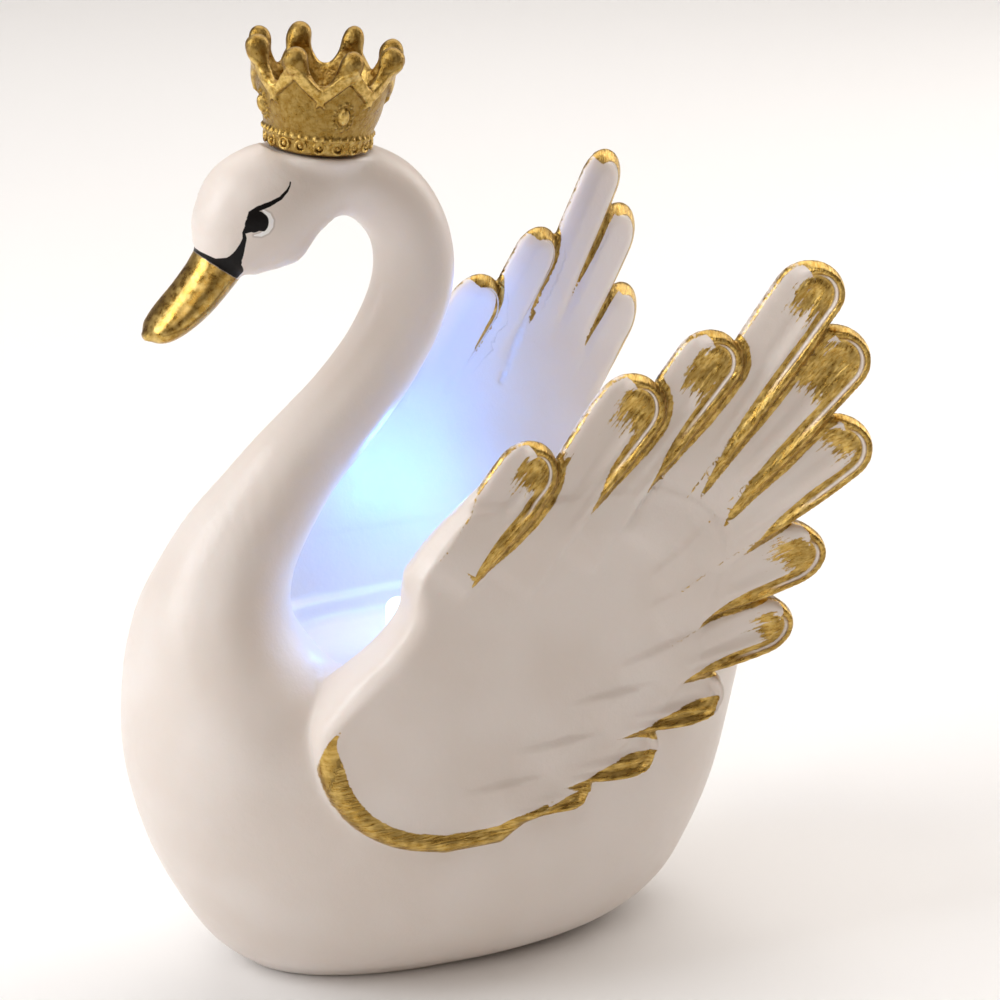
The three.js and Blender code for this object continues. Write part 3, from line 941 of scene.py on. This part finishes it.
def lathe(name, profile, centre, around=64):
    """A closed turned piece from a profile of radius and height in mm, axis first and last."""
    verts, faces = [], []
    for r, h in profile[1:-1]:
        for i in range(around):
            a = 2 * math.pi * i / around
            verts.append((centre[0] + r * math.cos(a), centre[1] + r * math.sin(a), h))
    rings = len(profile) - 2
    quads = [
        (k * around + i, k * around + (i + 1) % around,
         (k + 1) * around + (i + 1) % around, (k + 1) * around + i)
        for k in range(rings - 1)
        for i in range(around)
    ]
    low, high = len(verts), len(verts) + 1
    verts += [(centre[0], centre[1], profile[0][1]), (centre[0], centre[1], profile[-1][1])]
    last = (rings - 1) * around
    caps = [(low, (i + 1) % around, i) for i in range(around)]
    caps += [(high, last + i, last + (i + 1) % around) for i in range(around)]
    mesh = bpy.data.meshes.new(name)
    mesh.from_pydata([tuple(c * MM for c in v) for v in verts], [], quads + caps)
    mesh.polygons.foreach_set("use_smooth", [True] * len(mesh.polygons))
    mesh.update()
    return placed_object(name, mesh)


def make_lamp():
    low = NEST_FLOOR - LAMP_STEM
    under, over = NEST_FLOOR + LAMP_CLEARANCE, NEST_FLOOR + LAMP_CLEARANCE + LAMP_FLANGE
    dome = NEST_FLOOR + LAMP_HEIGHT - LAMP_RADIUS
    bevel = 0.1
    profile = [
        (0, low),
        (LAMP_RADIUS - bevel, low),
        (LAMP_RADIUS, low + bevel),
        (LAMP_RADIUS, under),
        (LAMP_FLANGE_RADIUS - bevel, under),
        (LAMP_FLANGE_RADIUS, under + bevel),
        (LAMP_FLANGE_RADIUS, over - bevel),
        (LAMP_FLANGE_RADIUS - bevel, over),
        (LAMP_RADIUS + bevel / 2, over),
        (LAMP_RADIUS, over + bevel),
    ]
    for a in np.linspace(0, math.pi / 2, 13)[:-1]:
        profile.append((LAMP_RADIUS * math.cos(a), dome + LAMP_RADIUS * math.sin(a)))
    profile.append((0, dome + LAMP_RADIUS))
    return lathe("lamp_lens", profile, (0, LAMP_Y))


# Finishes.


class Tree:
    """Short calls for the nodes of a shader tree."""

    def __init__(self, tree):
        self.nodes, self.links = tree.nodes, tree.links

    def put(self, socket, value):
        if isinstance(value, bpy.types.NodeSocket):
            self.links.new(value, socket)
        elif socket.type == "RGBA" and len(value) == 3:
            socket.default_value = (*value, 1)
        else:
            socket.default_value = value

    def math(self, operation, a, b=0.0, c=0.0, clamp=False):
        node = self.nodes.new("ShaderNodeMath")
        node.operation, node.use_clamp = operation, clamp
        for socket, value in zip(node.inputs, (a, b, c)):
            self.put(socket, value)
        return node.outputs[0]

    def vector(self, operation, a, b=(0, 0, 0)):
        node = self.nodes.new("ShaderNodeVectorMath")
        node.operation = operation
        self.put(node.inputs[0], a)
        self.put(node.inputs[1], b)
        return node.outputs["Value" if operation in ("DOT_PRODUCT", "LENGTH") else "Vector"]

    def scaled(self, vector, factor):
        node = self.nodes.new("ShaderNodeVectorMath")
        node.operation = "SCALE"
        self.put(node.inputs[0], vector)
        self.put(node.inputs["Scale"], factor)
        return node.outputs["Vector"]

    def times(self, a, b):
        return self.math("MULTIPLY", a, b)

    def plus(self, a, b):
        return self.math("ADD", a, b)

    def minus(self, a, b):
        return self.math("SUBTRACT", a, b)


class Finish(Tree):
    """A node material, with short calls for the nodes that the finishes use."""

    def __init__(self, name):
        self.material = bpy.data.materials.new(name)
        self.material.use_nodes = True
        super().__init__(self.material.node_tree)
        self.shader = self.nodes["Principled BSDF"]

    def set(self, **values):
        for name, value in values.items():
            self.put(self.shader.inputs[name.replace("_", " ")], value)

    def mix(self, share, a, b):
        node = self.nodes.new("ShaderNodeMix")
        node.data_type = "RGBA"
        self.put(node.inputs[0], share)
        self.put(node.inputs[6], a)
        self.put(node.inputs[7], b)
        return node.outputs[2]

    def blend(self, share, a, b):
        node = self.nodes.new("ShaderNodeMix")
        self.put(node.inputs[0], share)
        self.put(node.inputs[2], a)
        self.put(node.inputs[3], b)
        return node.outputs[0]

    def ramp(self, value, low, high, start=0.0, end=1.0):
        node = self.nodes.new("ShaderNodeMapRange")
        node.interpolation_type = "SMOOTHSTEP"
        for socket, item in zip(node.inputs, (value, low, high, start, end)):
            self.put(socket, item)
        return node.outputs[0]

    def noise(self, place, scale, detail=2.0, roughness=0.5):
        node = self.nodes.new("ShaderNodeTexNoise")
        self.put(node.inputs["Vector"], place)
        node.inputs["Scale"].default_value = scale
        node.inputs["Detail"].default_value = detail
        node.inputs["Roughness"].default_value = roughness
        return node.outputs[0]

    def attribute(self, name, kind="Fac"):
        node = self.nodes.new("ShaderNodeAttribute")
        node.attribute_name = name
        return node.outputs[kind]

    def place(self):
        return self.nodes.new("ShaderNodeTexCoord").outputs["Object"]

    def parts(self, vector):
        node = self.nodes.new("ShaderNodeSeparateXYZ")
        self.put(node.inputs[0], vector)
        return node.outputs

    def joined(self, x, y, z):
        node = self.nodes.new("ShaderNodeCombineXYZ")
        for socket, value in zip(node.inputs, (x, y, z)):
            self.put(socket, value)
        return node.outputs[0]

    def bump(self, height):
        """Normals for a relief given in mm."""
        node = self.nodes.new("ShaderNodeBump")
        node.inputs["Strength"].default_value = 1.0
        node.inputs["Distance"].default_value = MM
        self.put(node.inputs["Height"], height)
        return node.outputs[0]


def stroke_group():
    """Distance, in mm, from a place in the side view to a tapering brush stroke."""
    tree = bpy.data.node_groups.new("brush_stroke", "ShaderNodeTree")
    vectors, floats = ("Place", "Start", "Run", "Share per mm"), ("Start radius", "Radius change")
    sockets = [(name, "Vector") for name in vectors] + [(name, "Float") for name in floats]
    given, result = tree_ends(tree, sockets, ("Distance", "Float"))
    t = Tree(tree)
    apart = t.vector("SUBTRACT", given["Place"], given["Start"])
    along = t.vector("DOT_PRODUCT", apart, given["Share per mm"])
    share = t.math("ADD", along, 0.0, clamp=True)
    foot = t.scaled(given["Run"], share)
    away = t.vector("LENGTH", t.vector("SUBTRACT", apart, foot))
    radius = t.math("MULTIPLY_ADD", share, given["Radius change"], given["Start radius"])
    tree.links.new(t.minus(away, radius), result["Distance"])
    return tree


# Brush strokes of the face in the side view, and the painted shade of the mouth's groove: runs of
# y, z and stroke radius.
EYE = [(-20.36, 93.1, 1.29), (-20.7, 92.85, 0.9), (-21.75, 91.95, 0.14), (-21.62, 91.3, 0.2)]
BROW = [
    (-21.25, 93.6, 0.1),
    (-20.95, 94.15, 0.22),
    (-20.07, 94.62, 0.27),
    (-18.86, 95.02, 0.25),
    (-17.53, 95.58, 0.2),
    (-16.69, 96.28, 0.13),
    (-16.3, 96.75, 0.1),
    (-16.15, 97.1, 0.07),
]
LORE = [
    (-21.62, 91.3, 0.2),
    (-21.9, 90.3, 0.34),
    (-22.2, 89.3, 0.56),
    (-22.6, 88.4, 0.86),
    (-22.8, 87.7, 1.1),
    (-22.2, 86.9, 0.95),
]
BILL_BAND = [(-22.6, 88.2, 0.9), (-24.3, 88.1, 0.55), (-25.6, 88.75, 0.4)]
# Mouth line: a dark stroke along the bill, painted shade where the groove between the bill's
# halves lies.
MOUTH_GROOVE_SHADE = [(-22.6, 86.1, 0.05), (-25.3, 83.1, 0.19), (-28.2, 81.2, 0.15), (-30.6, 80.4, 0.04)]
CRESCENT = [
    (-19.57, 94.37, 0.12),
    (-19.06, 93.85, 0.27),
    (-18.87, 93.23, 0.34),
    (-18.95, 92.59, 0.34),
    (-19.3, 92.04, 0.3),
    (-19.9, 91.67, 0.22),
    (-20.62, 91.62, 0.08),
]


def painted(finish, place, strokes, group):
    """Distance from a place to the nearest of the strokes."""
    nearest = None
    for (ay, az, ar), (by, bz, br) in zip(strokes, strokes[1:]):
        run = Vector((0, by - ay, bz - az))
        node = finish.nodes.new("ShaderNodeGroup")
        node.node_tree = group
        finish.put(node.inputs["Place"], place)
        node.inputs["Start"].default_value = (0, ay, az)
        node.inputs["Run"].default_value = run
        node.inputs["Share per mm"].default_value = run / run.length_squared
        node.inputs["Start radius"].default_value = ar
        node.inputs["Radius change"].default_value = br - ar
        away = node.outputs["Distance"]
        nearest = away if nearest is None else finish.math("MINIMUM", nearest, away)
    return nearest


PEARL = (0.80, 0.73, 0.68)
PEARL_SHADE = (0.76, 0.68, 0.62)
GOLD = (0.47, 0.28, 0.055)
GOLD_PALE = (0.76, 0.54, 0.18)
GOLD_DEEP = (0.20, 0.11, 0.02)
LINE_BLACK = (0.004, 0.003, 0.003)
EYE_WHITE = (0.93, 0.92, 0.91)
EYE_SHADE = (0.28, 0.24, 0.22)


def swan_finish():
    """Pearl-white paint with hand-brushed gold and a painted face, all on one casting."""
    f = Finish("swan_paint")
    mm = f.scaled(f.place(), 1 / MM)
    side_view = f.vector("MULTIPLY", mm, (0, 1, 1))
    x, y, z = f.parts(mm)
    # gold on the wings
    along, across, open_groove = f.parts(f.attribute("brush_way", "Vector"))
    solid, dry, depth = f.parts(f.attribute("gold_paint", "Vector"))
    streak_place = f.joined(f.times(along, 0.25), f.times(across, 2.4), 0.0)
    streaks = f.minus(f.noise(streak_place, 1.0, 4.0, 0.6), 0.5)
    grain = f.minus(f.noise(mm, 2.4, 4.0, 0.65), 0.5)
    ragged = f.plus(f.times(streaks, 0.35), f.times(grain, 0.25))
    solid_share = f.ramp(f.plus(solid, ragged), -0.04, 0.08)
    brushed = f.plus(f.times(streaks, 3.4), f.times(grain, 1.2))
    dry_share = f.ramp(f.plus(dry, brushed), -0.05, 0.25)
    from_groove = f.math("ABSOLUTE", f.minus(depth, 1.3))
    groove = f.times(f.ramp(from_groove, 0.2, 0.04), f.times(open_groove, 0.9))
    wing_gold_share = f.math("MAXIMUM", solid_share, dry_share)
    wing_gold_share = f.times(wing_gold_share, f.minus(1.0, groove))
    # gold on the bill
    stroke = stroke_group()
    bill_line = f.plus(f.times(f.plus(y, 23.2), 0.72), f.minus(z, 87.0))
    bill_edge = f.plus(bill_line, f.times(grain, 0.25))
    in_front = f.times(f.ramp(y, -20.6, -21.4), f.ramp(z, 76.0, 77.0))
    bill_gold_share = f.times(f.ramp(bill_edge, 0.12, -0.12), in_front)
    gold_share = f.math("MAXIMUM", wing_gold_share, bill_gold_share, clamp=True)
    # face
    wobble = f.times(f.minus(f.noise(mm, 1.6, 2.0), 0.5), 0.1)
    black = painted(f, side_view, EYE, stroke)
    for strokes in (BROW, LORE, BILL_BAND):
        black = f.math("MINIMUM", black, painted(f, side_view, strokes, stroke))
    black_share = f.ramp(f.plus(black, wobble), 0.04, -0.04)
    head_side = f.ramp(z, 84.0, 85.0)
    not_bill = f.minus(1.0, bill_gold_share)
    black_share = f.times(f.times(black_share, head_side), not_bill)
    crescent = painted(f, side_view, CRESCENT, stroke)
    white_share = f.ramp(crescent, 0.06, -0.06)
    line_share = f.times(f.ramp(crescent, 0.3, 0.08), 0.35)
    # colours
    cloud = f.noise(mm, 0.09, 1.0, 0.5)
    pearl = f.mix(f.ramp(cloud, 0.3, 0.7), PEARL, PEARL_SHADE)
    pearl = f.mix(line_share, pearl, EYE_SHADE)
    pearl = f.mix(white_share, pearl, EYE_WHITE)
    tone_along = f.plus(f.times(along, 0.5), f.times(x, 0.8))
    tone_across = f.plus(f.times(across, 3.0), f.times(y, in_front))
    tone_place = f.joined(tone_along, tone_across, z)
    gold_tone = f.noise(tone_place, 1.1, 3.0, 0.6)
    gold = f.mix(f.ramp(gold_tone, 0.35, 0.7), GOLD, GOLD_PALE)
    gold = f.mix(f.ramp(f.noise(mm, 0.6, 3.0), 0.62, 0.4, 0.0, 0.45), gold, GOLD_DEEP)
    # painted shade: a dark gold line along the mouth's groove
    mouth_groove_shade = f.ramp(painted(f, side_view, MOUTH_GROOVE_SHADE, stroke), 0.14, -0.1)
    gold = f.mix(f.times(mouth_groove_shade, 0.75), gold, GOLD_DEEP)
    colour = f.mix(gold_share, pearl, gold)
    colour = f.mix(black_share, colour, LINE_BLACK)
    f.set(Base_Color=colour)
    f.set(Metallic=f.times(gold_share, f.minus(1.0, black_share)))
    paint_rough = f.ramp(f.noise(mm, 0.5, 3.0), 0.3, 0.7, 0.34, 0.46)
    f.set(Roughness=f.blend(gold_share, paint_rough, f.ramp(gold_tone, 0.3, 0.7, 0.24, 0.4)))
    f.set(Specular_IOR_Level=f.blend(black_share, 0.5, 0.15))
    f.set(Coat_Weight=0.06, Coat_Roughness=0.25, Subsurface_Weight=0.12)
    f.set(Subsurface_Radius=(1.0, 0.5, 0.35), Subsurface_Scale=0.0015)
    # relief too fine for the mesh: brushed gold, the fine groove inside each rim, casting ripple
    strokes = f.times(f.times(streaks, gold_share), 0.2)
    ripple = f.times(f.noise(mm, 0.35, 3.0, 0.5), 0.09)
    fine = f.times(f.noise(mm, 3.0, 2.0, 0.6), 0.014)
    dents = f.times(groove, 0.16)
    height = f.plus(f.plus(strokes, ripple), f.minus(fine, dents))
    f.set(Normal=f.bump(height))
    return f.material


def crown_finish():
    """Antiqued cast gold: pale on the straps and knobs, brown in the hollows."""
    f = Finish("crown_gold")
    mm = f.scaled(f.place(), 1 / MM)
    relief = f.attribute("relief")
    tone = f.noise(mm, 1.4, 4.0, 0.6)
    gold = f.mix(f.ramp(tone, 0.35, 0.68), f.mix(0.25, GOLD, GOLD_DEEP), GOLD_PALE)
    lifted = f.mix(f.ramp(relief, 0.1, 0.9), f.mix(0.62, gold, GOLD_DEEP), gold)
    speck = f.ramp(f.noise(mm, 4.5, 2.0, 0.6), 0.66, 0.72)
    f.set(Base_Color=f.mix(f.times(speck, 0.5), lifted, GOLD_DEEP))
    f.set(Roughness=f.ramp(tone, 0.3, 0.7, 0.26, 0.42))
    f.set(Metallic=1.0)
    height = f.plus(f.times(f.noise(mm, 1.8, 4.0, 0.6), 0.16), f.times(speck, -0.05))
    f.set(Normal=f.bump(height))
    return f.material


def lamp_finish():
    """Lit lens of the lamp, brightest at its dome."""
    f = Finish("lamp_light")
    _, _, z = f.parts(f.scaled(f.place(), 1 / MM))
    dome = f.ramp(z, NEST_FLOOR, NEST_FLOOR + LAMP_HEIGHT)
    f.set(Base_Color=(0.8, 0.9, 1.0))
    f.set(Emission_Color=f.mix(dome, (0.2, 0.5, 1.0), (0.5, 0.8, 1.0)))
    f.set(Emission_Strength=f.ramp(z, NEST_FLOOR, NEST_FLOOR + LAMP_HEIGHT, 0.9, 1.8))
    f.set(Roughness=0.15)
    return f.material


def plain_finish(name, colour, roughness):
    f = Finish(name)
    tone = f.noise(f.scaled(f.place(), 3.0), 1.0, 2.0)
    f.set(Base_Color=f.mix(f.ramp(tone, 0.3, 0.7), colour, tuple(c * 0.985 for c in colour)))
    f.set(Roughness=roughness)
    return f.material


# The figurine.

swan = make_swan()
swan.data.materials.append(swan_finish())
crown = make_crown()
crown_metal = crown_finish()
crown.data.materials.append(crown_metal)
band_rings = make_band_rings(crown_metal)
lamp = make_lamp()
lamp.data.materials.append(lamp_finish())

for piece, node, slot in (
    (swan, "swan", "swan"),
    (crown, "crown", "crown"),
    (band_rings, "crown", "crown"),
    (lamp, "led_lamp", "led_lamp"),
):
    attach(piece, "root")
    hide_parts(node)

# Camera, light and floor.

FLOOR_SIZE = 6000
CAMERA_AZIMUTH = math.radians(66)
CAMERA_ELEVATION = math.radians(20)
CAMERA_DISTANCE = 0.423
CAMERA_TARGET = Vector((0, 0.01166, 0.0538))

back = Vector(
    (
        math.sin(CAMERA_AZIMUTH) * math.cos(CAMERA_ELEVATION),
        -math.cos(CAMERA_AZIMUTH) * math.cos(CAMERA_ELEVATION),
        math.sin(CAMERA_ELEVATION),
    )
)
right = Vector((math.cos(CAMERA_AZIMUTH), math.sin(CAMERA_AZIMUTH), 0))
camera = placed_object("camera", bpy.data.cameras.new("camera"))
camera.data.lens = 128
camera.data.sensor_width = 36
camera.data.clip_start = 0.01
camera.location = CAMERA_TARGET + back * CAMERA_DISTANCE
camera.rotation_euler = (-back).to_track_quat("-Z", "Y").to_euler()
bpy.context.scene.camera = camera


def area_light(name, place, size, watts, colour=(1, 1, 1)):
    light = bpy.data.lights.new(name, "AREA")
    light.shape, light.size, light.size_y = "RECTANGLE", size[0], size[1]
    light.energy, light.color = watts, colour
    panel = placed_object(name, light)
    panel.location = place
    panel.rotation_euler = (CAMERA_TARGET - place).to_track_quat("-Z", "Y").to_euler()


up = Vector((0, 0, 1))
KEY = CAMERA_TARGET - right * 0.5 + back * 0.12 + up * 0.25
FRONT = CAMERA_TARGET + back * 0.6 - right * 0.15 + up * 0.35
RIM = CAMERA_TARGET + right * 0.45 - back * 0.35 + up * 0.35
TOP = CAMERA_TARGET - back * 0.35 + up * 0.7
area_light("key", KEY, (0.3, 0.5), 2.3, (0.94, 0.97, 1.0))
area_light("front", FRONT, (0.5, 0.5), 1.3, (1.0, 0.95, 0.9))
area_light("rim", RIM, (0.3, 0.4), 1.4, (1.0, 0.97, 0.93))
area_light("top", TOP, (0.8, 0.8), 3.6, (1.0, 0.98, 0.96))
bpy.context.scene.view_settings.view_transform = "Standard"
bpy.context.scene.cycles.adaptive_threshold = 0.03
bpy.context.scene.cycles.adaptive_min_samples = 24

for name, place, watts, colour, radius in (
    ("lamp_glow", (-0.003, 0.006, 0.056), 0.016, (0.06, 0.32, 1.0), 0.003),
    ("lamp_haze", (-0.010, 0.016, 0.074), 0.0035, (0.10, 0.30, 1.0), 0.006),
):
    glow = placed_object(name, bpy.data.lights.new(name, "POINT"))
    glow.data.energy, glow.data.color, glow.data.shadow_soft_size = watts, colour, radius
    glow.location = place

world = bpy.data.worlds.new("studio")
world.use_nodes = True
world.node_tree.nodes["Background"].inputs["Color"].default_value = (1.0, 0.83, 0.71, 1)
world.node_tree.nodes["Background"].inputs["Strength"].default_value = 0.2
bpy.context.scene.world = world

reach = FLOOR_SIZE / 2
corners = [(-reach, -reach, 0), (reach, -reach, 0), (reach, reach, 0), (-reach, reach, 0)]
floor = mesh_object("floor", corners, [(0, 1, 2, 3)])
floor.data.materials.append(plain_finish("pale_floor", (0.92, 0.92, 0.92), 0.7))
